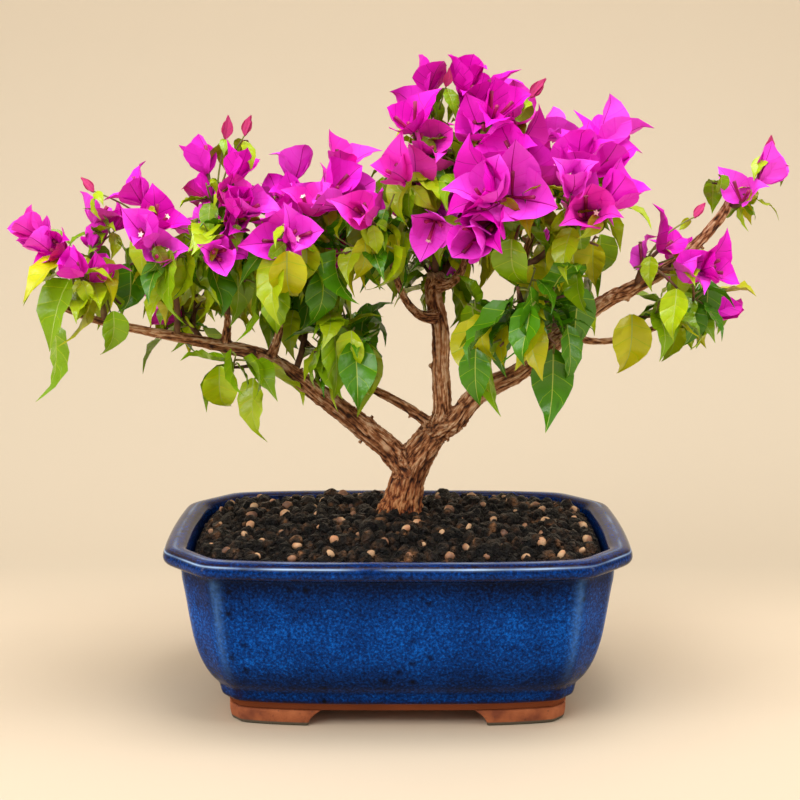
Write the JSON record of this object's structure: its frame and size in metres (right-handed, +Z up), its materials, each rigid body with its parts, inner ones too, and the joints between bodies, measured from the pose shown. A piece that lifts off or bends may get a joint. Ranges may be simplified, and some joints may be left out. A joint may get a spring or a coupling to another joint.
{
  "type": "potted bonsai",
  "caption": "Flowering bougainvillea bonsai with a forked trunk and spreading boughs, planted in a faceted oblong blue glazed pot on low bracket feet.",
  "frame": {"origin": "on the table under the middle of the pot and of the crown's span", "axes": "+X along the pot's long side, to the right seen from the show side; +Y to the back; +Z up"},
  "size_m": [0.4242, 0.19, 0.3564],
  "materials": {
    "glaze": "glossy speckled glaze",
    "clay": "unglazed",
    "soil": "loose porous grains",
    "bark": "flaking bark",
    "blossom": "papery bracts over green leaves",
    "leaf": "thin leaf"
  },
  "bodies": {
    "root": {"pot": "glaze", "foot_front_left": "clay", "foot_back_left": "clay", "foot_front_right": "clay", "foot_back_right": "clay", "soil": "soil", "trunk": "bark", "bough_left": "bark", "bough_inner_left": "bark", "bough_upright": "bark", "bough_right": "bark", "branch_left_stub": "bark", "branch_left_riser": "bark", "branch_upright_left": "bark", "branch_upright_right": "bark", "branch_riser": "bark", "branch_lower": "bark", "foliage_left_tip": "blossom", "foliage_left_outer": "blossom", "foliage_left_high": "blossom", "foliage_left_back": "blossom", "foliage_centre_left": "blossom", "foliage_centre_high": "blossom", "foliage_centre_front": "blossom", "foliage_top_left": "blossom", "foliage_top": "blossom", "foliage_right_front": "blossom", "foliage_right_high": "blossom", "foliage_right_bough": "blossom", "foliage_right_outer": "blossom", "foliage_right_tip": "blossom", "foliage_centre_back": "blossom", "foliage_right_back": "blossom", "foliage_back_high": "blossom", "foliage_back_left": "blossom", "foliage_left_low": "leaf", "foliage_centre_low": "leaf", "foliage_right_low": "leaf"}
  },
  "joints": []
}
